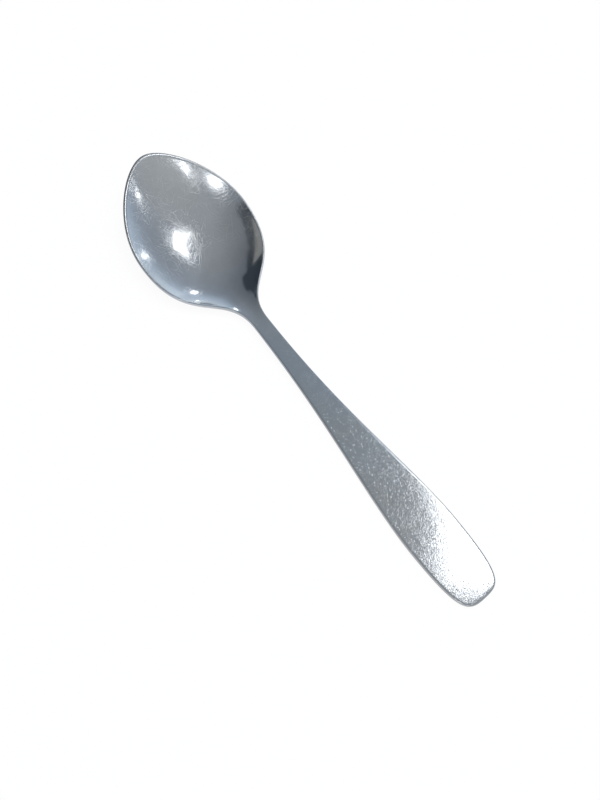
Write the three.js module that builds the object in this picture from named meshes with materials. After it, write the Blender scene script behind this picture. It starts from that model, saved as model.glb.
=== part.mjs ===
// Serving spoon: one blank of stainless sheet, stamped to its outline, dished at one end and polished.
// Millimetres, +Z up. It lies at rest with the hollow side up, the bowl's tip towards -X and the
// handle towards +X. The flat back of the handle's end and the lowest point of the bowl are at z = 0.
import * as THREE from "three";

const { lerp, smoothstep, degToRad } = THREE.MathUtils;

// Outline, seen from above
const OVERALL_LENGTH = 210;
const BOWL_WIDTH = 51.4;
const BOWL_WIDEST_FROM_TIP = 34.3;
const NECK_WIDTH = 6.8;
const NECK_FROM_TIP = 77;
const HANDLE_WIDTH = 22.8;
const HANDLE_WIDEST_FROM_END = 28.6;

// Fullness of the outline's curves: how far each end of a curve keeps its own direction,
// as a share of that curve's length or width
const TIP_FULLNESS_ALONG = 0.51;
const TIP_FULLNESS_ACROSS = 0.38;
const SHOULDER_FULLNESS_AT_BOWL = 0.68;
const SHOULDER_FULLNESS_AT_NECK = 0.43;
const FLARE_FULLNESS_AT_NECK = 0.45;
const FLARE_FULLNESS_AT_HANDLE = 0.24;
const END_FULLNESS_ALONG = 0.98;
const END_FULLNESS_ACROSS = 0.69;

// Side profile
const BOWL_DEPTH = 6.8; // below the rim, at the bowl's widest place
const TIP_RISE = 14.9; // height of the rim at the tip above the rim at the neck
const TIP_ANGLE = 17; // climb of the rim at the tip, degrees
const NECK_ANGLE = 3.5; // climb of the neck, degrees
const FLAT_BACK_LENGTH = 46; // the end of the handle that lies flat
const DISH_FADES_BEFORE_NECK = 10; // where the hollow starts to run out, seen from the bowl
const DISH_ENDS_AFTER_NECK = 4;
const FLOOR_FLATNESS = 2.3; // 2 is a parabola from rim to rim, more has a flatter floor
const FLOOR_FLATNESS_AT_NECK = 1.7;
const FILL_TO_TIP = 1.8; // how the depth follows the bowl's width: 1 in step with it, more later
const FILL_TO_NECK = 1.2;
const HANDLE_CROWN = 0.05; // swell of the handle's upper face, where it is widest

// Sheet
const BOWL_THICKNESS = 1.3;
const HANDLE_THICKNESS = 1.8;
const NECK_SWELL = 1.2; // how much thicker the middle of the neck is than its edges, on the back
const SWELL_STARTS_BEFORE_NECK = 30;
const SWELL_ENDS_AFTER_NECK = 70;
const RIM_ROUND_AT_TIP = 1.6; // how far in from the edge the tip's rim is rounded over
const RIM_SQUARENESS = 2.2; // 2 is a half-round edge, more leaves a flatter land
const HANDLE_EDGE_SQUARENESS = 4;

// Facets
const COLUMNS = 22;
const TIP_STEPS = 18;
const SHOULDER_STEPS = 26;
const FLARE_STEPS = 30;
const END_STEPS = 17;
const EDGE_STEPS = 6;
const SLOPE_STEP = 0.01;

const TIP_X = -OVERALL_LENGTH / 2;
const END_X = OVERALL_LENGTH / 2;
const BOWL_X = TIP_X + BOWL_WIDEST_FROM_TIP;
const NECK_X = TIP_X + NECK_FROM_TIP;
const HANDLE_X = END_X - HANDLE_WIDEST_FROM_END;
const FLAT_X = END_X - FLAT_BACK_LENGTH;

// Half of the outline, from the tip over the +Y side to the handle's end

function makeHalfOutline() {
  const bowl = BOWL_WIDTH / 2;
  const neck = NECK_WIDTH / 2;
  const handle = HANDLE_WIDTH / 2;
  const shoulder = NECK_X - BOWL_X;
  const flare = HANDLE_X - NECK_X;
  return new THREE.Path()
    .moveTo(TIP_X, 0)
    .bezierCurveTo(
      TIP_X, bowl * TIP_FULLNESS_ACROSS,
      BOWL_X - BOWL_WIDEST_FROM_TIP * TIP_FULLNESS_ALONG, bowl,
      BOWL_X, bowl,
    )
    .bezierCurveTo(
      BOWL_X + shoulder * SHOULDER_FULLNESS_AT_BOWL, bowl,
      NECK_X - shoulder * SHOULDER_FULLNESS_AT_NECK, neck,
      NECK_X, neck,
    )
    .bezierCurveTo(
      NECK_X + flare * FLARE_FULLNESS_AT_NECK, neck,
      HANDLE_X - flare * FLARE_FULLNESS_AT_HANDLE, handle,
      HANDLE_X, handle,
    )
    .bezierCurveTo(
      HANDLE_X + HANDLE_WIDEST_FROM_END * END_FULLNESS_ALONG, handle,
      END_X, handle * END_FULLNESS_ACROSS,
      END_X, 0,
    );
}

const halfOutline = makeHalfOutline();

// Half the width at x. Every curve of the outline runs steadily along +X, so halving finds the place.
function halfWidthAt(x) {
  const curve = halfOutline.curves.find((c) => x <= c.v3.x) ?? halfOutline.curves.at(-1);
  let low = 0;
  let high = 1;
  for (let halving = 0; halving < 40; halving++) {
    const middle = (low + high) / 2;
    if (curve.getPoint(middle).x < x) low = middle;
    else high = middle;
  }
  return curve.getPoint(low).y;
}

// Sheet thickness and hollow

function thicknessAt(x) {
  return lerp(BOWL_THICKNESS, HANDLE_THICKNESS, smoothstep(x, BOWL_X, FLAT_X));
}

// How far in from the outline the edge is rounded: half the sheet, and more round the tip
function edgeReachAt(x) {
  return lerp(RIM_ROUND_AT_TIP, thicknessAt(x) / 2, smoothstep(x, TIP_X, BOWL_X));
}

// The bowl's rim is polished round, and the edge gets squarer towards the neck.
function edgeSquarenessAt(x) {
  return lerp(RIM_SQUARENESS, HANDLE_EDGE_SQUARENESS, smoothstep(x, BOWL_X, NECK_X));
}

// 1 in the bowl, 0 in the handle
function bowlShare(x) {
  return 1 - smoothstep(x, NECK_X - DISH_FADES_BEFORE_NECK, NECK_X + DISH_ENDS_AFTER_NECK);
}

// 0 on the centre line, 1 on the outline
function acrossAt(x, y) {
  const half = halfWidthAt(x);
  return half > 0 ? Math.min(1, Math.abs(y) / half) : 1;
}

function hollowAt(x, y) {
  const fill = x < BOWL_X ? FILL_TO_TIP : FILL_TO_NECK;
  const depth = BOWL_DEPTH * (halfWidthAt(x) / (BOWL_WIDTH / 2)) ** fill;
  const toNeck = Math.min(1, Math.max(0, (x - BOWL_X) / (NECK_X - BOWL_X)));
  const flatness = lerp(FLOOR_FLATNESS, FLOOR_FLATNESS_AT_NECK, toNeck);
  return depth * (1 - acrossAt(x, y) ** flatness) * bowlShare(x);
}

function crownAt(x, y) {
  const swell = HANDLE_CROWN * (halfWidthAt(x) / (HANDLE_WIDTH / 2));
  return swell * (1 - acrossAt(x, y) ** 2) * (1 - bowlShare(x));
}

// The neck's back is rounded: it is thickest in the middle and runs out into the bowl and the handle.
function backSwellAt(x, y) {
  const fromBowl = smoothstep(x, NECK_X - SWELL_STARTS_BEFORE_NECK, NECK_X);
  const toHandle = 1 - smoothstep(x, NECK_X, NECK_X + SWELL_ENDS_AFTER_NECK);
  return NECK_SWELL * fromBowl * toHandle * (1 - acrossAt(x, y) ** 2);
}

// Side profile of the sheet's edge: cubics with set slopes at their ends

function cubicBetween(x, from, to) {
  const third = (to.x - from.x) / 3;
  return new THREE.CubicBezierCurve(
    new THREE.Vector2(from.x, from.z),
    new THREE.Vector2(from.x + third, from.z + third * from.slope),
    new THREE.Vector2(to.x - third, to.z - third * to.slope),
    new THREE.Vector2(to.x, to.z),
  ).getPoint((x - from.x) / (to.x - from.x)).y;
}

const tipSlope = -Math.tan(degToRad(TIP_ANGLE));
const neckSlope = -Math.tan(degToRad(NECK_ANGLE));

function rimRise(x) {
  return cubicBetween(
    x,
    { x: TIP_X, z: TIP_RISE, slope: tipSlope },
    { x: NECK_X, z: 0, slope: neckSlope },
  );
}

// The neck is as high as it must be for the bowl's underside to touch the plane of the flat back.
function findNeckHeight() {
  const sampleStep = 0.25;
  let lowest = 0;
  for (let x = TIP_X; x <= NECK_X; x += sampleStep) {
    const below = hollowAt(x, 0) + thicknessAt(x) / 2 + backSwellAt(x, 0);
    lowest = Math.min(lowest, rimRise(x) - below);
  }
  return -lowest;
}

const neckHeight = findNeckHeight();

function edgeHeightAt(x) {
  if (x <= NECK_X) return neckHeight + rimRise(x);
  if (x >= FLAT_X) return HANDLE_THICKNESS / 2;
  return cubicBetween(
    x,
    { x: NECK_X, z: neckHeight, slope: neckSlope },
    { x: FLAT_X, z: HANDLE_THICKNESS / 2, slope: 0 },
  );
}

// Middle surface of the sheet, halfway through its thickness

function middleHeight(x, y) {
  return edgeHeightAt(x) - hollowAt(x, y);
}

function middlePoint(x, y) {
  return new THREE.Vector3(x, y, middleHeight(x, y));
}

function middleNormal(x, y) {
  const span = 2 * SLOPE_STEP;
  const slopeX = (middleHeight(x + SLOPE_STEP, y) - middleHeight(x - SLOPE_STEP, y)) / span;
  const slopeY = (middleHeight(x, y + SLOPE_STEP) - middleHeight(x, y - SLOPE_STEP)) / span;
  return new THREE.Vector3(-slopeX, -slopeY, 1).normalize();
}

// Points of the half outline, each with its outward direction and its place half a thickness further
// in, where the round edge has its centre
function sampleHalfOutline() {
  const steps = [TIP_STEPS, SHOULDER_STEPS, FLARE_STEPS, END_STEPS];
  const samples = [];
  halfOutline.curves.forEach((curve, index) => {
    const first = index === 0 ? 0 : 1;
    for (let step = first; step <= steps[index]; step++) {
      const point = curve.getPoint(step / steps[index]);
      const tangent = curve.getTangent(step / steps[index]);
      const outward = new THREE.Vector2(-tangent.y, tangent.x);
      const inset = point.clone().addScaledVector(outward, -edgeReachAt(point.x));
      samples.push({ outward, inset });
    }
  });
  return samples;
}

// Grid over the plan. Its first row bends round the tip and its last row round the handle's end, so
// no row shrinks to a point; the rows between are straight.

const halfSamples = sampleHalfOutline();
const HALF = COLUMNS / 2;
const ROWS = halfSamples.length - 1 - COLUMNS;

// The outline sample that a vertex on the grid's border lies on
function borderSample(column, row) {
  const fromMiddle = Math.abs(column - HALF);
  if (row === 0) return halfSamples[fromMiddle];
  if (row === ROWS) return halfSamples[halfSamples.length - 1 - fromMiddle];
  return halfSamples[HALF + row];
}

function gridPlace(column, row) {
  const across = (column - HALF) / HALF;
  const side = Math.sign(across);
  const tipCorner = borderSample(COLUMNS, 0).inset;
  const endCorner = borderSample(COLUMNS, ROWS).inset;
  const onTip = borderSample(column, 0).inset;
  const onEnd = borderSample(column, ROWS).inset;
  const rowEnd = halfSamples[HALF + row].inset;
  const tipBend = 1 - smoothstep(rowEnd.x, tipCorner.x, BOWL_X);
  const endBend = smoothstep(rowEnd.x, HANDLE_X, endCorner.x);
  const x = rowEnd.x + tipBend * (onTip.x - tipCorner.x) + endBend * (onEnd.x - endCorner.x);
  const bentToTip = tipBend * ((side * onTip.y) / tipCorner.y - across);
  const bentToEnd = endBend * ((side * onEnd.y) / endCorner.y - across);
  return new THREE.Vector2(x, rowEnd.y * (across + bentToTip + bentToEnd));
}

// Column and row of each border vertex, once round the grid
function walkBorder() {
  const border = [];
  for (let column = 0; column < COLUMNS; column++) border.push([column, 0]);
  for (let row = 0; row < ROWS; row++) border.push([COLUMNS, row]);
  for (let column = COLUMNS; column > 0; column--) border.push([column, ROWS]);
  for (let row = ROWS; row > 0; row--) border.push([0, row]);
  return border;
}

// Upper face, lower face and round edge, joined at the grid's border into one closed surface
function makeSpoonGeometry() {
  const positions = [];
  const triangles = [];
  const gridSize = (COLUMNS + 1) * (ROWS + 1);
  const upper = (column, row) => row * (COLUMNS + 1) + column;
  const lower = (column, row) => gridSize + upper(column, row);
  const addQuad = (a, b, c, d) => triangles.push(a, b, c, a, c, d);

  const lowerPositions = [];
  for (let row = 0; row <= ROWS; row++) {
    for (let column = 0; column <= COLUMNS; column++) {
      const { x, y } = gridPlace(column, row);
      const middle = middlePoint(x, y);
      const normal = middleNormal(x, y);
      const half = thicknessAt(x) / 2;
      const top = middle.clone().addScaledVector(normal, half + crownAt(x, y));
      const bottom = middle.clone().addScaledVector(normal, -half - backSwellAt(x, y));
      positions.push(...top.toArray());
      lowerPositions.push(...bottom.toArray());
    }
  }
  positions.push(...lowerPositions);

  for (let row = 0; row < ROWS; row++) {
    for (let column = 0; column < COLUMNS; column++) {
      addQuad(
        upper(column, row), upper(column, row + 1),
        upper(column + 1, row + 1), upper(column + 1, row),
      );
      addQuad(
        lower(column, row), lower(column + 1, row),
        lower(column + 1, row + 1), lower(column, row + 1),
      );
    }
  }

  // Each border vertex has a string of vertices from the upper face round the edge to the lower face.
  const strings = walkBorder().map(([column, row]) => {
    const { x, y } = gridPlace(column, row);
    const { outward } = borderSample(column, row);
    const side = Math.sign(column - HALF);
    const middle = middlePoint(x, y);
    const normal = middleNormal(x, y);
    const radius = thicknessAt(x) / 2;
    const power = 2 / edgeSquarenessAt(x);
    const out = new THREE.Vector3(outward.x, side < 0 ? -outward.y : outward.y, 0);
    out.projectOnPlane(normal).normalize();
    const string = [upper(column, row)];
    for (let step = 1; step < EDGE_STEPS; step++) {
      const angle = (Math.PI * step) / EDGE_STEPS;
      const rise = Math.sign(Math.cos(angle)) * Math.abs(Math.cos(angle)) ** power;
      const reach = Math.sin(angle) ** power;
      const point = middle
        .clone()
        .addScaledVector(normal, radius * rise)
        .addScaledVector(out, edgeReachAt(x) * reach);
      string.push(positions.length / 3);
      positions.push(...point.toArray());
    }
    string.push(lower(column, row));
    return string;
  });
  strings.forEach((string, index) => {
    const next = strings[(index + 1) % strings.length];
    for (let step = 0; step < EDGE_STEPS; step++) {
      addQuad(string[step], next[step], next[step + 1], string[step + 1]);
    }
  });

  const geometry = new THREE.BufferGeometry();
  geometry.setAttribute("position", new THREE.Float32BufferAttribute(positions, 3));
  geometry.setIndex(triangles);
  geometry.computeVertexNormals();
  return geometry;
}

const polishedSteel = new THREE.MeshStandardMaterial({
  name: "polished_stainless_steel",
  color: "#b4bac2",
  roughness: 0.16,
  metalness: 1,
});

const spoon = new THREE.Mesh(makeSpoonGeometry(), polishedSteel);
spoon.name = "spoon";

const servingSpoon = new THREE.Group();
servingSpoon.name = "serving_spoon";
servingSpoon.add(spoon);

export default servingSpoon;
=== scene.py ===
"""Serving spoon: one blank of stainless sheet, dished at one end and polished, worn by use.

Metres, +Z up, in the part's own frame: the bowl's tip points to -X and the handle's end to +X.
"""
import math

import bmesh
import bpy
import numpy as np
from mathutils import Matrix, Vector


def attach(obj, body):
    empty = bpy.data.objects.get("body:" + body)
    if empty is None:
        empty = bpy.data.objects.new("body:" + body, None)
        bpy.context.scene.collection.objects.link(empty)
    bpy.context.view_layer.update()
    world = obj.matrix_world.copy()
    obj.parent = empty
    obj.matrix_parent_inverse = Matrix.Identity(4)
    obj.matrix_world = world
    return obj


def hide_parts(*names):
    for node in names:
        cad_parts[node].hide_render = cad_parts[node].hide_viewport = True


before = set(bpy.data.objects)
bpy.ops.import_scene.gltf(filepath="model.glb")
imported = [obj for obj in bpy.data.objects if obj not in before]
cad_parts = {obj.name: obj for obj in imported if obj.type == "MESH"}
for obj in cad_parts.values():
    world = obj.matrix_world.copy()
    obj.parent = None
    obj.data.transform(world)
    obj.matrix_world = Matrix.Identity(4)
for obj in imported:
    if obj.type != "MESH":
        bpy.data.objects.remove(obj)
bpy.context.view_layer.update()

MM = 0.001

# Outline of the blank, seen from above
OVERALL_LENGTH = 210 * MM
BOWL_WIDTH = 51.4 * MM
BOWL_WIDEST_FROM_TIP = 34.3 * MM
NECK_WIDTH = 6.8 * MM
NECK_FROM_TIP = 77 * MM
HANDLE_WIDTH = 22.8 * MM
HANDLE_WIDEST_FROM_END = 28.6 * MM

# Fullness of the outline's curves: how far each end of a curve keeps its own direction,
# as a share of that curve's length or width
TIP_FULLNESS_ALONG = 0.51
TIP_FULLNESS_ACROSS = 0.38
SHOULDER_FULLNESS_AT_BOWL = 0.68
SHOULDER_FULLNESS_AT_NECK = 0.43
FLARE_FULLNESS_AT_NECK = 0.45
FLARE_FULLNESS_AT_HANDLE = 0.24
END_FULLNESS_ALONG = 0.98
END_FULLNESS_ACROSS = 0.69

# Side profile
BOWL_DEPTH = 6.8 * MM
TIP_RISE = 14.9 * MM
TIP_SLOPE = -math.tan(math.radians(17))
NECK_SLOPE = -math.tan(math.radians(3.5))
FLAT_BACK_LENGTH = 46 * MM
DISH_FADES_BEFORE_NECK = 10 * MM
DISH_ENDS_AFTER_NECK = 4 * MM
FLOOR_FLATNESS = 2.3
FLOOR_FLATNESS_AT_NECK = 1.7
FILL_TO_TIP = 1.8
FILL_TO_NECK = 1.2
HANDLE_CROWN = 0.05 * MM

# Sheet
BOWL_THICKNESS = 1.3 * MM
HANDLE_THICKNESS = 1.8 * MM
NECK_SWELL = 1.2 * MM
SWELL_STARTS_BEFORE_NECK = 30 * MM
SWELL_ENDS_AFTER_NECK = 70 * MM
RIM_ROUND_AT_TIP = 1.6 * MM
RIM_SQUARENESS = 2.2
HANDLE_EDGE_SQUARENESS = 4

# Fineness of the mesh
CURVE_POINTS = 1500
ROWS = 250
COLUMNS = 56
EDGE_CUTS = 11
TIP_CORNER = 15 * MM
END_CORNER = 9 * MM
EDGE_HOLD = 0.012
HEIGHT_STEP = 0.25 * MM
SLOPE_STEP = 0.01 * MM
TINY_WIDTH = 1e-9
TINY_SHARE = 1e-6
ON_FACE = 0.999

# Dull band on the cut edge, darker in tone as a painted dark reflection: shares of the way down the edge,
# and places along the spoon
BAND_FADES_IN = (0.25, 0.5)
BAND_FADES_OUT = (0.85, 1)
BAND_LENGTH_AT_TIP = 12 * MM
BAND_RETURNS_BEFORE_NECK = 12 * MM
BAND_IS_BACK_AFTER_NECK = 8 * MM
BAND_LOSS_BESIDE_BOWL = 0.85
BAND_GAIN_ON_HANDLE = 0.4

TIP_X = -OVERALL_LENGTH / 2
END_X = OVERALL_LENGTH / 2
BOWL_X = TIP_X + BOWL_WIDEST_FROM_TIP
NECK_X = TIP_X + NECK_FROM_TIP
HANDLE_X = END_X - HANDLE_WIDEST_FROM_END
FLAT_X = END_X - FLAT_BACK_LENGTH

# Wear of the steel, by the place along the spoon
WEAR_FADE = (-10 * MM, 75 * MM)
NICKS_FADE = (-10 * MM, 45 * MM)
LINES_FADE = (-64 * MM, -48 * MM)
LINE_DEPTH_IN_BOWL = 1.0
LINE_DEPTH_ON_HANDLE = 0.4
# Where the bowl's tone gives way to the handle's, which starts with the neck's painted blue reflection.
HANDLE_TONE_FADE = (-45 * MM, -20 * MM)

# Patterns in the steel: sizes in millimetres, and the levels of a pattern between which it shows.
# Real scratches are a few hundredths of a millimetre wide, and real grain is finer too. They are
# drawn 0.15 to 0.4 mm wide, so that they show at this distance.
HAIRLINE_LENGTH_MM = 7
HAIRLINE_WIDTH_MM = 0.16
HAIRLINE_LEVELS = (0.66, 0.86)
HAIRLINE_TURNS = range(8, 180, 20)
NICK_LEVELS = (0.1, 0.5)
WAVE_MM = 9
WAVE_LEVELS = (0.35, 0.65)
SCUFF_MM = 0.5
GRAIN_MM = 0.4
FILM_MM = 16
FILM_HAZE_LEVELS = (0.3, 0.75)
FILM_TONE_LEVELS = (0.4, 0.65)

# Relief of the steel
GROOVE_DEPTH = 0.004 * MM
NICK_TO_GROOVE_DEPTH = 5.0
SCUFF_HEIGHT = 0.008 * MM
WAVE_HEIGHT = 0.006 * MM
GRAIN_LEAN = (0.007, 0.021)

# Roughness of the steel
FILM_ROUGHNESS = (0.083, 0.1)
WEAR_ROUGHNESS = -0.015
LINE_ROUGHNESS = 0.2
NICK_ROUGHNESS = 0.25
EDGE_ROUGHNESS = 0.25

# Tones of the steel. Some stand in for light: the neck's blue is a painted reflection, the marks' paleness
# is partly a painted glint, and the cut edge's brown is partly a painted dark reflection.
CLEAN_TONE = "#c9ccd0"
HAZY_TONE = "#bec2c8"
NECK_BLUE_REFLECTION_TONE = "#acb6c1"
WORN_TONE = "#bec1c5"
FILM_TONE = "#aeb0ae"
MARK_AND_GLINT_TONE = "#e2e4e6"
EDGE_DULL_AND_DARK_REFLECTION_TONE = "#7d7771"
FILM_COVER = 0.3
LINE_PALENESS_AND_GLINT = 0.25
NICK_PALENESS_AND_GLINT = 0.7

# Camera
CAMERA_AIM = Vector((4.74 * MM, -6.44 * MM, 0))
CAMERA_DISTANCE = 336.04 * MM
CAMERA_AZIMUTH = math.radians(20.999)
CAMERA_ELEVATION = math.radians(67.338)
CAMERA_ROLL = math.radians(31.123)
CAMERA_LENS_MM = 39.6
CAMERA_NEAREST = 0.01

# Room
LAMP_DISTANCE = 12.0
FLOOR_RADIUS = 6.0
FLOOR_SIDES = 64
FLOOR_EVENNESS = 0.93
CEILING_HEIGHT = 1.2
FLAG_GAP = 0.02
FLAG_AWAY = Vector((-0.419, -0.908, 0))
FLAG_BESIDE = Vector((-0.908, 0.419, 0))
BEYOND_TIP = (-0.78, -0.42, 0.46)
BEYOND_HANDLE = (0.85, 0.2, 0.5)


# Outline

def curve_points(start, start_pull, end_pull, end):
    t = np.linspace(0, 1, CURVE_POINTS)[:, None]
    start, start_pull, end_pull, end = (np.array(p, float) for p in (start, start_pull, end_pull, end))
    near = (1 - t) ** 3 * start + 3 * (1 - t) ** 2 * t * start_pull
    return near + 3 * (1 - t) * t ** 2 * end_pull + t ** 3 * end


def half_outline():
    bowl, neck, handle = BOWL_WIDTH / 2, NECK_WIDTH / 2, HANDLE_WIDTH / 2
    shoulder = NECK_X - BOWL_X
    flare = HANDLE_X - NECK_X
    curves = [
        curve_points(
            (TIP_X, 0), (TIP_X, bowl * TIP_FULLNESS_ACROSS),
            (BOWL_X - BOWL_WIDEST_FROM_TIP * TIP_FULLNESS_ALONG, bowl), (BOWL_X, bowl),
        ),
        curve_points(
            (BOWL_X, bowl), (BOWL_X + shoulder * SHOULDER_FULLNESS_AT_BOWL, bowl),
            (NECK_X - shoulder * SHOULDER_FULLNESS_AT_NECK, neck), (NECK_X, neck),
        )[1:],
        curve_points(
            (NECK_X, neck), (NECK_X + flare * FLARE_FULLNESS_AT_NECK, neck),
            (HANDLE_X - flare * FLARE_FULLNESS_AT_HANDLE, handle), (HANDLE_X, handle),
        )[1:],
        curve_points(
            (HANDLE_X, handle), (HANDLE_X + HANDLE_WIDEST_FROM_END * END_FULLNESS_ALONG, handle),
            (END_X, handle * END_FULLNESS_ACROSS), (END_X, 0),
        )[1:],
    ]
    return np.vstack(curves)


OUTLINE = half_outline()
OUTLINE_STEPS = np.linalg.norm(np.diff(OUTLINE, axis=0), axis=1)
OUTLINE_WALK = np.concatenate([[0], np.cumsum(OUTLINE_STEPS)])
OUTLINE_TANGENT = np.gradient(OUTLINE, axis=0)
OUTLINE_TANGENT /= np.linalg.norm(OUTLINE_TANGENT, axis=1, keepdims=True)


def half_width(x):
    return np.interp(x, OUTLINE[:, 0], OUTLINE[:, 1])


# Sheet thickness, hollow and side profile

def smooth_between(x, low, high):
    t = np.clip((x - low) / (high - low), 0, 1)
    return t * t * (3 - 2 * t)


def thickness(x):
    return BOWL_THICKNESS + (HANDLE_THICKNESS - BOWL_THICKNESS) * smooth_between(x, BOWL_X, FLAT_X)


def edge_reach(x):
    """How far in from the outline the edge is rounded: half the sheet, and more round the tip."""
    return RIM_ROUND_AT_TIP + (thickness(x) / 2 - RIM_ROUND_AT_TIP) * smooth_between(x, TIP_X, BOWL_X)


def edge_squareness(x):
    """The bowl's rim is polished round, and the edge gets squarer towards the neck."""
    return RIM_SQUARENESS + (HANDLE_EDGE_SQUARENESS - RIM_SQUARENESS) * smooth_between(x, BOWL_X, NECK_X)


def edge_dull_and_dark_reflection(x, down):
    """How dull the cut edge is, and how much painted dark reflection its tone carries, at a share of the
    way down it: most at the tip, least beside the bowl.
    """
    on_band = smooth_between(down, *BAND_FADES_IN) * (1 - smooth_between(down, *BAND_FADES_OUT))
    past_tip = smooth_between(x, TIP_X + BAND_LENGTH_AT_TIP, BOWL_X)
    on_handle = smooth_between(x, NECK_X - BAND_RETURNS_BEFORE_NECK, NECK_X + BAND_IS_BACK_AFTER_NECK)
    return on_band * (1 - BAND_LOSS_BESIDE_BOWL * past_tip + BAND_GAIN_ON_HANDLE * on_handle)


def bowl_share(x):
    return 1 - smooth_between(x, NECK_X - DISH_FADES_BEFORE_NECK, NECK_X + DISH_ENDS_AFTER_NECK)


def across_share(x, y):
    """0 on the centre line, 1 on the outline."""
    return np.minimum(1, np.abs(y) / np.maximum(half_width(x), TINY_WIDTH))


def hollow(x, y):
    fill = np.where(x < BOWL_X, FILL_TO_TIP, FILL_TO_NECK)
    depth = BOWL_DEPTH * (half_width(x) / (BOWL_WIDTH / 2)) ** fill
    to_neck = np.clip((x - BOWL_X) / (NECK_X - BOWL_X), 0, 1)
    flatness = FLOOR_FLATNESS + (FLOOR_FLATNESS_AT_NECK - FLOOR_FLATNESS) * to_neck
    return depth * (1 - across_share(x, y) ** flatness) * bowl_share(x)


def crown(x, y):
    swell = HANDLE_CROWN * half_width(x) / (HANDLE_WIDTH / 2)
    return swell * (1 - across_share(x, y) ** 2) * (1 - bowl_share(x))


def back_swell(x, y):
    """The neck's back is rounded: thickest in the middle, running out into the bowl and the handle."""
    from_bowl = smooth_between(x, NECK_X - SWELL_STARTS_BEFORE_NECK, NECK_X)
    to_handle = 1 - smooth_between(x, NECK_X, NECK_X + SWELL_ENDS_AFTER_NECK)
    return NECK_SWELL * from_bowl * to_handle * (1 - across_share(x, y) ** 2)


def cubic_between(x, start_x, start_z, start_slope, end_x, end_z, end_slope):
    run = end_x - start_x
    t = (x - start_x) / run
    start_part = (2 * t ** 3 - 3 * t ** 2 + 1) * start_z + (t ** 3 - 2 * t ** 2 + t) * run * start_slope
    return start_part + (3 * t ** 2 - 2 * t ** 3) * end_z + (t ** 3 - t ** 2) * run * end_slope


def rim_rise(x):
    return cubic_between(x, TIP_X, TIP_RISE, TIP_SLOPE, NECK_X, 0, NECK_SLOPE)


def neck_height():
    """The height of the neck at which the bowl's lowest point touches what the spoon lies on."""
    x = np.arange(TIP_X, NECK_X, HEIGHT_STEP)
    return -np.min(rim_rise(x) - hollow(x, 0 * x) - thickness(x) / 2 - back_swell(x, 0 * x))


NECK_HEIGHT = neck_height()


def middle_height(x, y):
    in_bowl = NECK_HEIGHT + rim_rise(x)
    in_handle = cubic_between(x, NECK_X, NECK_HEIGHT, NECK_SLOPE, FLAT_X, HANDLE_THICKNESS / 2, 0)
    edge = np.where(x <= NECK_X, in_bowl, np.where(x >= FLAT_X, HANDLE_THICKNESS / 2, in_handle))
    return edge - hollow(x, y)


def middle_normal(x, y):
    step = SLOPE_STEP
    slope_x = (middle_height(x + step, y) - middle_height(x - step, y)) / (2 * step)
    slope_y = (middle_height(x, y + step) - middle_height(x, y - step)) / (2 * step)
    normal = np.stack([-slope_x, -slope_y, np.ones_like(slope_x)], axis=-1)
    return normal / np.linalg.norm(normal, axis=-1, keepdims=True)


# Places on the outline, by the distance walked along it from the tip

def outline_inset(walk):
    point = np.stack([np.interp(walk, OUTLINE_WALK, OUTLINE[:, i]) for i in (0, 1)], axis=-1)
    return point - outline_outward(walk) * edge_reach(point[..., :1])


def outline_outward(walk):
    tangent = [np.interp(walk, OUTLINE_WALK, OUTLINE_TANGENT[:, i]) for i in (0, 1)]
    outward = np.stack([-tangent[1], tangent[0]], axis=-1)
    return outward / np.linalg.norm(outward, axis=-1, keepdims=True)


# Mesh

def crowd_to_edge(share, segments):
    """The last step of an even row of shares is shortened, so the polish stays crisp up to the edge."""
    last = 1 - 2 / segments
    return np.where(np.abs(share) > last + TINY_SHARE, share, share / last * (1 - EDGE_HOLD))


def plan_of_grid(along, across):
    """Places in the plan and outward directions for a grid whose first row bends round the tip and
    whose last row bends round the handle's end."""
    walk_end = OUTLINE_WALK[-1]
    side = np.sign(across)
    row_walk = TIP_CORNER + along * (walk_end - END_CORNER - TIP_CORNER)
    tip_walk = np.abs(across) * TIP_CORNER
    end_walk = walk_end - np.abs(across) * END_CORNER
    row_end = outline_inset(row_walk)
    on_tip = outline_inset(tip_walk)
    on_end = outline_inset(end_walk)
    tip_corner = outline_inset(np.array([TIP_CORNER]))[0]
    end_corner = outline_inset(np.array([walk_end - END_CORNER]))[0]
    tip_bend = 1 - smooth_between(row_end[:, 0], tip_corner[0], BOWL_X)
    end_bend = smooth_between(row_end[:, 0], HANDLE_X, end_corner[0])
    along_to_tip = tip_bend * (on_tip[:, 0] - tip_corner[0])
    along_to_end = end_bend * (on_end[:, 0] - end_corner[0])
    x = row_end[:, 0] + along_to_tip + along_to_end
    across_to_tip = tip_bend * (side * on_tip[:, 1] / tip_corner[1] - across)
    across_to_end = end_bend * (side * on_end[:, 1] / end_corner[1] - across)
    y = row_end[:, 1] * (across + across_to_tip + across_to_end)
    past_first_row = np.where(along > 1 - TINY_SHARE, end_walk, row_walk)
    outward = outline_outward(np.where(along < TINY_SHARE, tip_walk, past_first_row))
    outward[:, 1] *= np.where(side == 0, 1, side)
    return x, y, outward


def add_object(name, bm):
    mesh = bpy.data.meshes.new(name)
    bm.to_mesh(mesh)
    bm.free()
    new_object = bpy.data.objects.new(name, mesh)
    bpy.context.scene.collection.objects.link(new_object)
    return new_object


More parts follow.
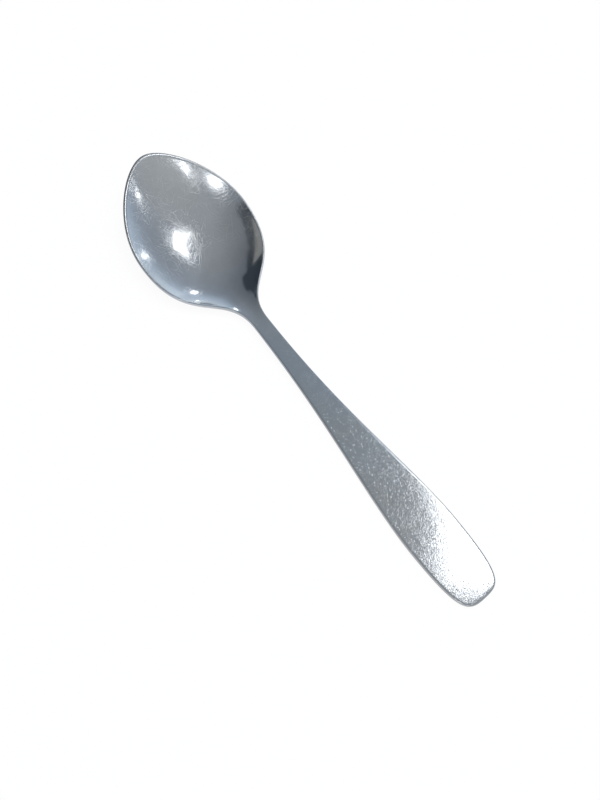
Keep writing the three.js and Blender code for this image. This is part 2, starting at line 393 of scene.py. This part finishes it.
def make_spoon():
    """A grid laid on the middle of the sheet, extruded through its thickness, with its wall
    subdivided and rounded."""
    bm = bmesh.new()
    bmesh.ops.create_grid(bm, x_segments=ROWS, y_segments=COLUMNS, size=1)
    flat = np.array([v.co for v in bm.verts])
    along = (crowd_to_edge(flat[:, 0], ROWS) + 1) / 2
    across = crowd_to_edge(flat[:, 1], COLUMNS)
    x, y, outward = plan_of_grid(along, across)
    normal = middle_normal(x, y)
    out = np.column_stack([outward, 0 * x])
    out -= normal * np.sum(out * normal, axis=1, keepdims=True)
    out /= np.linalg.norm(out, axis=1, keepdims=True)
    vectors = {
        "middle": np.stack([x, y, middle_height(x, y)], axis=-1),
        "normal": normal,
        "outward": out,
    }
    numbers = {
        "half": thickness(x) / 2,
        "reach": edge_reach(x),
        "square": edge_squareness(x),
        "crown": crown(x, y),
        "back": back_swell(x, y),
        "through": np.full_like(x, -1),
    }
    layers = bm.verts.layers
    layer = {name: layers.float_vector.new(name) for name in vectors}
    layer.update({name: layers.float.new(name) for name in (*numbers, "edge_land_and_dark_reflection")})
    for i, v in enumerate(bm.verts):
        for name, values in vectors.items():
            v[layer[name]] = Vector(values[i])
        for name, values in numbers.items():
            v[layer[name]] = values[i]

    upper = bmesh.ops.extrude_face_region(bm, geom=bm.faces[:])["geom"]
    through_layer = layer["through"]
    for v in upper:
        if isinstance(v, bmesh.types.BMVert):
            v[through_layer] = 1
    wall = [e for e in bm.edges if e.verts[0][through_layer] != e.verts[1][through_layer]]
    bmesh.ops.subdivide_edges(bm, edges=wall, cuts=EDGE_CUTS, use_grid_fill=True)

    for v in bm.verts:
        through = v[through_layer]
        half = v[layer["half"]]
        turn = (1 - through) * math.pi / 2
        power = 2 / v[layer["square"]]
        lift = half * math.copysign(abs(math.cos(turn)) ** power, through)
        reach = abs(math.sin(turn)) ** power
        if through > ON_FACE:
            lift = half + v[layer["crown"]]
        if through < -ON_FACE:
            lift = -half - v[layer["back"]]
        if abs(through) > ON_FACE:
            reach = 0
        lifted = v[layer["middle"]] + v[layer["normal"]] * lift
        v.co = lifted + v[layer["outward"]] * (v[layer["reach"]] * reach)
        # The cut edge's band: duller steel, and a painted dark reflection in its tone.
        v[layer["edge_land_and_dark_reflection"]] = edge_dull_and_dark_reflection(v.co.x, (1 - through) / 2)

    for name in vectors:
        layers.float_vector.remove(layers.float_vector[name])
    for name in numbers:
        layers.float.remove(layers.float[name])
    bmesh.ops.recalc_face_normals(bm, faces=bm.faces[:])
    stamped = add_object("stamped_spoon", bm)
    stamped.data.shade_smooth()
    return stamped


# Shader nodes

def linear(hex_colour):
    """A written sRGB colour as linear red, green, blue and alpha."""
    parts = [int(hex_colour[i:i + 2], 16) / 255 for i in (1, 3, 5)]
    return [p / 12.92 if p <= 0.04045 else ((p + 0.055) / 1.055) ** 2.4 for p in parts] + [1.0]


def per_mm(size_mm):
    """Texture scale on metre coordinates at which one feature measures size_mm."""
    return 1 / (size_mm * MM)


def fresh_tree(owner):
    owner.use_nodes = True
    owner.node_tree.nodes.clear()
    return owner.node_tree


def add(tree, kind, feeds=None, **settings):
    """One node with its settings; what feeds a socket is another node's output or a constant."""
    node = tree.nodes.new(kind)
    for name, value in settings.items():
        setattr(node, name, value)
    for socket, value in (feeds or {}).items():
        if isinstance(value, bpy.types.NodeSocket):
            tree.links.new(value, node.inputs[socket])
        else:
            node.inputs[socket].default_value = value
    return node


def number(tree, operation, *values, **settings):
    """The number that one operation makes of one to three numbers."""
    feeds = dict(enumerate(values))
    return add(tree, "ShaderNodeMath", feeds, operation=operation, **settings).outputs[0]


def vector(tree, operation, *values):
    """The vector that one operation makes of one or two vectors."""
    feeds = dict(enumerate(values))
    return add(tree, "ShaderNodeVectorMath", feeds, operation=operation).outputs[0]


def facing_share(tree, direction, toward):
    feeds = {0: direction, 1: toward}
    return add(tree, "ShaderNodeVectorMath", feeds, operation="DOT_PRODUCT").outputs["Value"]


def fade(tree, value, levels, low=0.0, high=1.0, smooth=False):
    """A number that goes from low to high while the value goes from the first level to the second."""
    return add(
        tree, "ShaderNodeMapRange",
        {"Value": value, "From Min": levels[0], "From Max": levels[1], "To Min": low, "To Max": high},
        interpolation_type="SMOOTHSTEP" if smooth else "LINEAR",
    ).outputs[0]


def blend(tree, share, first, second):
    """One colour that gives way to another as the share goes from 0 to 1."""
    feeds = {"Factor": share, 6: first, 7: second}
    return add(tree, "ShaderNodeMix", feeds, data_type="RGBA").outputs[2]


def noise(tree, where, size_mm, detail):
    feeds = {"Vector": where, "Scale": per_mm(size_mm), "Detail": detail}
    return add(tree, "ShaderNodeTexNoise", feeds).outputs[0]


# Steel

def scratch_set(tree, where, spacing_mm, width_mm, length_mm, turn):
    """One straight scratch in each cell of a scattered pattern, each at its own angle and depth.
    Gives the groove's depth from 0 to 1."""
    cells = add(
        tree, "ShaderNodeMapping",
        {"Vector": where, "Rotation": (0, 0, turn), "Scale": [per_mm(spacing_mm)] * 3},
    ).outputs["Vector"]
    cell = add(
        tree, "ShaderNodeTexVoronoi", {"Vector": cells, "Scale": 1.0, "Randomness": 1.0},
        voronoi_dimensions="2D", feature="F1",
    ).outputs
    chance = add(tree, "ShaderNodeSeparateColor", {"Color": cell["Color"]}).outputs
    angle = number(tree, "MULTIPLY", chance["Red"], math.tau)
    from_middle = vector(tree, "SUBTRACT", cells, cell["Position"])
    turned = add(
        tree, "ShaderNodeVectorRotate", {"Vector": from_middle, "Angle": angle}, rotation_type="Z_AXIS",
    ).outputs[0]
    local = add(tree, "ShaderNodeSeparateXYZ", {"Vector": turned}).outputs
    profile = []
    for axis, size_mm in (("X", length_mm), ("Y", width_mm)):
        off = number(tree, "ABSOLUTE", local[axis])
        half_size = size_mm / spacing_mm / 2
        profile.append(fade(tree, off, (0.0, half_size), low=1.0, high=0.0, smooth=True))
    groove = number(tree, "MULTIPLY", profile[0], profile[1])
    depth = number(tree, "POWER", chance["Green"], 2.0)
    return number(tree, "MULTIPLY", groove, depth)


def hairlines(tree, where, turn):
    """Fine polishing lines in one direction, some millimetres long. Gives their depth from 0 to 1."""
    length = HAIRLINE_LENGTH_MM * MM
    width = HAIRLINE_WIDTH_MM * MM
    stretched = add(
        tree, "ShaderNodeMapping",
        {"Vector": where, "Rotation": (0, 0, turn), "Scale": (length, width, length)},
        vector_type="TEXTURE",
    ).outputs["Vector"]
    streak = add(tree, "ShaderNodeTexNoise", {"Vector": stretched, "Scale": 1.0, "Detail": 0.0}).outputs[0]
    return fade(tree, streak, HAIRLINE_LEVELS, smooth=True)


def polishing_lines(tree, where, x):
    """Long scratches and hairlines in many directions. The neck and the handle are rubbed less than
    the bowl's floor, so their lines are shallower."""
    lines = scratch_set(tree, where, spacing_mm=3.6, width_mm=0.18, length_mm=6.0, turn=0.3)
    for degrees in HAIRLINE_TURNS:
        lines = number(tree, "MAXIMUM", lines, hairlines(tree, where, math.radians(degrees)))
    depth = fade(tree, x, LINES_FADE, low=LINE_DEPTH_IN_BOWL, high=LINE_DEPTH_ON_HANDLE)
    return number(tree, "MULTIPLY", lines, depth)


def handle_nicks(tree, where, x):
    """Short nicks from use: none in the bowl, and deeper towards the handle's end."""
    nicks = scratch_set(tree, where, spacing_mm=1.4, width_mm=0.22, length_mm=1.1, turn=2.0)
    return number(tree, "MULTIPLY", nicks, fade(tree, x, NICKS_FADE))


def steel_facing(tree, where, wear, waves, lined, nicked):
    """The way the polish faces: grooved by the marks, scuffed and wavy, and on the worn handle
    each grain leans its own way."""
    nick_depth = number(tree, "MULTIPLY", nicked, NICK_TO_GROOVE_DEPTH)
    grooves = number(tree, "MAXIMUM", lined, nick_depth)
    scuffs = number(tree, "MULTIPLY", noise(tree, where, SCUFF_MM, detail=1.0), wear)
    height = number(tree, "MULTIPLY", waves, WAVE_HEIGHT)
    height = number(tree, "MULTIPLY_ADD", scuffs, SCUFF_HEIGHT, height)
    height = number(tree, "MULTIPLY_ADD", grooves, -GROOVE_DEPTH, height)
    bump = add(tree, "ShaderNodeBump", {"Height": height, "Strength": 1.0, "Distance": 1.0}).outputs[0]
    grain = add(
        tree, "ShaderNodeTexVoronoi", {"Vector": where, "Scale": per_mm(GRAIN_MM), "Randomness": 1.0},
    ).outputs["Color"]
    any_way = vector(tree, "SUBTRACT", grain, (0.5, 0.5, 0.5))
    patchy = fade(tree, waves, WAVE_LEVELS, *GRAIN_LEAN)
    lean_size = number(tree, "MULTIPLY", wear, patchy)
    lean = add(
        tree, "ShaderNodeVectorMath", {0: any_way, "Scale": lean_size}, operation="SCALE",
    ).outputs[0]
    return vector(tree, "NORMALIZE", vector(tree, "ADD", bump, lean))


def steel_roughness(tree, film, wear, lined, nick_mark, edge):
    """A light haze in patches. The bottoms of the marks are rough, so they glow softly round a
    lamp's reflection."""
    rough = fade(tree, film, FILM_HAZE_LEVELS, *FILM_ROUGHNESS)
    rough = number(tree, "MULTIPLY_ADD", wear, WEAR_ROUGHNESS, rough)
    rough = number(tree, "MULTIPLY_ADD", lined, LINE_ROUGHNESS, rough)
    rough = number(tree, "MULTIPLY_ADD", nick_mark, NICK_ROUGHNESS, rough)
    return number(tree, "MULTIPLY_ADD", edge, EDGE_ROUGHNESS, rough)


def steel_tone(tree, x, film, wear, lined, nick_mark, edge):
    """Cool grey; the neck's blue is a painted reflection of the room's blue light. A thin film of handling
    dulls the steel in patches, the marks are paler, partly as fresh steel and partly as a painted glint,
    and the cut edge is browner, partly as a duller edge and partly as a painted dark reflection."""
    face = blend(tree, film, linear(CLEAN_TONE), linear(HAZY_TONE))
    # Painted reflection: the neck's tone is bluer, standing in for the room's blue reflected there, and
    # fades into the worn handle's grey.
    handle = blend(tree, wear, linear(NECK_BLUE_REFLECTION_TONE), linear(WORN_TONE))
    clean = blend(tree, fade(tree, x, HANDLE_TONE_FADE), face, handle)
    film_patch = fade(tree, film, FILM_TONE_LEVELS, high=FILM_COVER)
    filmed = blend(tree, film_patch, clean, linear(FILM_TONE))
    # Painted glint: the lines and nicks are paler, partly as fresh steel and partly standing in for the
    # glints they throw.
    line_mark = number(tree, "MULTIPLY", lined, LINE_PALENESS_AND_GLINT)
    marks_and_glints = number(tree, "MULTIPLY_ADD", nick_mark, NICK_PALENESS_AND_GLINT, line_mark, use_clamp=True)
    marked = blend(tree, marks_and_glints, filmed, linear(MARK_AND_GLINT_TONE))
    # Painted dark reflection: the cut edge is browner, partly as a duller edge and partly standing in for
    # the dark reflection along it.
    return blend(tree, edge, marked, linear(EDGE_DULL_AND_DARK_REFLECTION_TONE))


def polished_stainless():
    """Stainless steel sheet, stamped and mirror polished, then scratched by years of use. To the eye:
    a cool grey mirror, sharp in the bowl, with faint waves from the polishing wheel, stray
    scratches that flash near the lamps, a scuffed, grainy end of the handle, and a duller, browner
    edge where the sheet was cut. The neck's blue is a painted reflection, the marks' paleness is partly a
    painted glint, and the edge's brown is partly a painted dark reflection."""
    material = bpy.data.materials.new("polished_stainless_steel")
    tree = fresh_tree(material)
    where = add(tree, "ShaderNodeTexCoord").outputs["Object"]
    x = add(tree, "ShaderNodeSeparateXYZ", {"Vector": where}).outputs["X"]
    # The edge band marks a duller cut edge and a painted dark reflection.
    edge = add(tree, "ShaderNodeAttribute", attribute_name="edge_land_and_dark_reflection").outputs["Fac"]
    wear = fade(tree, x, WEAR_FADE, smooth=True)
    waves = noise(tree, where, WAVE_MM, detail=1.0)
    film = noise(tree, where, FILM_MM, detail=4.0)
    lined = polishing_lines(tree, where, x)
    nicked = handle_nicks(tree, where, x)
    nick_mark = fade(tree, nicked, NICK_LEVELS)
    tone = steel_tone(tree, x, film, wear, lined, nick_mark, edge)
    rough = steel_roughness(tree, film, wear, lined, nick_mark, edge)
    facing = steel_facing(tree, where, wear, waves, lined, nicked)
    steel = add(
        tree, "ShaderNodeBsdfPrincipled",
        {"Base Color": tone, "Metallic": 1.0, "Roughness": rough, "Normal": facing},
    ).outputs[0]
    add(tree, "ShaderNodeOutputMaterial", {"Surface": steel})
    return material


# Studio

def white_floor():
    """White paper: pale and even, with only a faint soft shadow on it."""
    material = bpy.data.materials.new("white_paper_floor")
    tree = fresh_tree(material)
    ray = add(tree, "ShaderNodeLightPath").outputs
    seen = number(tree, "ADD", ray["Is Camera Ray"], ray["Is Glossy Ray"])
    shown = number(tree, "ADD", seen, ray["Is Transmission Ray"], use_clamp=True)
    even = number(tree, "MULTIPLY", shown, FLOOR_EVENNESS)
    paper = add(tree, "ShaderNodeBsdfDiffuse", {"Color": linear("#f4f4f4")}).outputs[0]
    glow = add(tree, "ShaderNodeEmission", {"Color": linear("#ffffff"), "Strength": 1.0}).outputs[0]
    mix = add(tree, "ShaderNodeMixShader", {0: even, 1: paper, 2: glow}).outputs[0]
    add(tree, "ShaderNodeOutputMaterial", {"Surface": mix})
    return material


def make_floor():
    bm = bmesh.new()
    bmesh.ops.create_circle(bm, cap_ends=True, segments=FLOOR_SIDES, radius=FLOOR_RADIUS)
    floor = add_object("floor", bm)
    floor.data.materials.append(white_floor())


def flag_cloth(name, colour):
    """Matt cloth on the studio's flags: it only takes light away."""
    material = bpy.data.materials.new(name)
    tree = fresh_tree(material)
    cloth = add(tree, "ShaderNodeBsdfDiffuse", {"Color": linear(colour)}).outputs[0]
    add(tree, "ShaderNodeOutputMaterial", {"Surface": cloth})
    return material


def make_flag(name, height, cloth, across, along):
    """A card under the ceiling, beyond the bowl's tip. Both spans are shares of its height:
    across runs away from the spoon, along runs beside the flag's straight edge."""
    bm = bmesh.new()
    bmesh.ops.create_grid(bm, x_segments=1, y_segments=1, size=0.5)
    for v in bm.verts:
        u = across[0] + (across[1] - across[0]) * (v.co.x + 0.5)
        w = along[0] + (along[1] - along[0]) * (v.co.y + 0.5)
        v.co = (FLAG_AWAY * u + FLAG_BESIDE * w + Vector((0, 0, 1))) * height
    flag = add_object(name, bm)
    flag.data.materials.append(cloth)
    flag.visible_camera = False


def make_lamp(name, direction, wide, high, turn, radiance, mirrored=True):
    """A rectangular soft lamp of the given angular size in degrees, as seen from the spoon."""
    toward = Vector(direction).normalized()
    side = Vector((0, 0, 1)).cross(toward).normalized()
    rise = toward.cross(side)
    data = bpy.data.lights.new(name, "AREA")
    data.shape = "RECTANGLE"
    data.size = 2 * LAMP_DISTANCE * math.tan(math.radians(wide) / 2)
    data.size_y = 2 * LAMP_DISTANCE * math.tan(math.radians(high) / 2)
    data.energy = radiance * math.pi * data.size * data.size_y
    lamp = bpy.data.objects.new(name, data)
    bpy.context.scene.collection.objects.link(lamp)
    place = Matrix((side, rise, toward)).transposed() @ Matrix.Rotation(math.radians(turn), 3, "Z")
    lamp.matrix_world = Matrix.Translation(toward * LAMP_DISTANCE) @ place.to_4x4()
    lamp.visible_camera = False
    lamp.visible_glossy = mirrored


def make_room():
    """Grey room light, paler and bluer towards the horizon, darker beyond the bowl's tip and paler
    beyond the handle."""
    world = bpy.data.worlds.new("room")
    bpy.context.scene.world = world
    tree = fresh_tree(world)
    direction = add(tree, "ShaderNodeTexCoord").outputs["Generated"]
    up = add(tree, "ShaderNodeSeparateXYZ", {"Vector": direction}).outputs["Z"]
    ramp = add(tree, "ShaderNodeValToRGB", {"Fac": up})
    stops = [
        (0.0, "#f4f9ff"), (0.2, "#e6f3ff"), (0.33, "#d6e6f6"), (0.5, "#b4bfcc"),
        (0.62, "#abb3bd"), (0.8, "#aeb4ba"), (1.0, "#b7bbbd"),
    ]
    elements = ramp.color_ramp.elements
    for place, _ in stops[len(elements):]:
        elements.new(place)
    for element, (place, colour) in zip(elements, stops):
        element.position = place
        element.color = linear(colour)
    shade = fade(tree, facing_share(tree, direction, BEYOND_TIP), (0.26, 0.85), high=0.66)
    shaded = blend(tree, shade, ramp.outputs["Color"], linear("#464d57"))
    gleam = fade(tree, facing_share(tree, direction, BEYOND_HANDLE), (0.74, 0.95), high=0.6)
    lit = blend(tree, gleam, shaded, linear("#d8d8d4"))
    light = add(tree, "ShaderNodeBackground", {"Color": lit, "Strength": 1.0}).outputs[0]
    add(tree, "ShaderNodeOutputWorld", {"Surface": light})


def make_camera():
    data = bpy.data.cameras.new("camera")
    data.lens = CAMERA_LENS_MM
    data.clip_start = CAMERA_NEAREST
    camera = bpy.data.objects.new("camera", data)
    bpy.context.scene.collection.objects.link(camera)
    back = Vector((
        math.sin(CAMERA_AZIMUTH) * math.cos(CAMERA_ELEVATION),
        -math.cos(CAMERA_AZIMUTH) * math.cos(CAMERA_ELEVATION),
        math.sin(CAMERA_ELEVATION),
    ))
    right = Vector((0, 0, 1)).cross(back).normalized()
    up = back.cross(right)
    upright = Matrix((right, up, back)).transposed()
    turned = upright @ Matrix.Rotation(CAMERA_ROLL, 3, "Z")
    camera.matrix_world = Matrix.Translation(CAMERA_AIM + back * CAMERA_DISTANCE) @ turned.to_4x4()
    bpy.context.scene.camera = camera


make_camera()
make_room()
make_floor()
dark_cloth = flag_cloth("dark_flag_cloth", "#52585f")
dull_cloth = flag_cloth("dull_flag_cloth", "#61666a")
grey_cloth = flag_cloth("grey_flag_cloth", "#c8c4be")
make_flag("ceiling_flag", CEILING_HEIGHT, dull_cloth, across=(0.425, 2.5), along=(-0.24, 0.4))
make_flag("far_flag", CEILING_HEIGHT + FLAG_GAP, dark_cloth, across=(0.4, 2.5), along=(0.35, 3.0))
make_flag("corner_flag", CEILING_HEIGHT + 2 * FLAG_GAP, dark_cloth, across=(0.27, 0.5), along=(0.78, 1.3))
make_flag("grey_flag", CEILING_HEIGHT - FLAG_GAP, grey_cloth, across=(0.585, 2.0), along=(-0.05, 0.75))
make_lamp("main_lamp", (0.086, 0.485, 0.872), wide=14.1, high=8.0, turn=-34, radiance=4.2)
make_lamp("main_corner_lamp", (0.131, 0.36, 0.932), wide=2.0, high=1.5, turn=-34, radiance=3.4)
make_lamp("end_glow_lamp", (0.174, 0.372, 0.92), wide=3.2, high=7.2, turn=-34, radiance=0.45)
make_lamp("tip_lamp", (0.566, -0.101, 0.818), wide=6.8, high=3.0, turn=27, radiance=4.4)
make_lamp("tip_side_lamp", (0.407, -0.363, 0.838), wide=9.2, high=6.2, turn=26, radiance=4)
make_lamp("tip_glow_lamp", (0.5, -0.24, 0.83), wide=36, high=8, turn=0, radiance=0.19)
make_lamp("left_lamp", (0.421, 0.659, 0.623), wide=4.4, high=1.3, turn=-49, radiance=6)
make_lamp("left_low_lamp", (0.439, 0.728, 0.526), wide=3.2, high=0.7, turn=-57, radiance=6)
make_lamp("side_lamp", (-0.013, 0.925, 0.379), wide=6.4, high=2.2, turn=-67, radiance=5.5)
make_lamp("shoulder_lamp", (-0.456, 0.768, 0.45), wide=5.6, high=3.0, turn=-88, radiance=4)
make_lamp("low_edge_lamp", (-0.613, 0.776, 0.147), wide=6.5, high=0.8, turn=-75, radiance=5)
make_lamp("low_glow_lamp", (-0.33, 0.9, 0.28), wide=16, high=9, turn=0, radiance=0.2)
make_lamp("floor_lamp", (0.0, 0.05, 1.0), wide=40, high=40, turn=0, radiance=4.2, mirrored=False)

spoon = make_spoon()
spoon.data.materials.append(polished_stainless())
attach(spoon, "root")
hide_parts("spoon")

bpy.context.scene.view_settings.view_transform = "Standard"
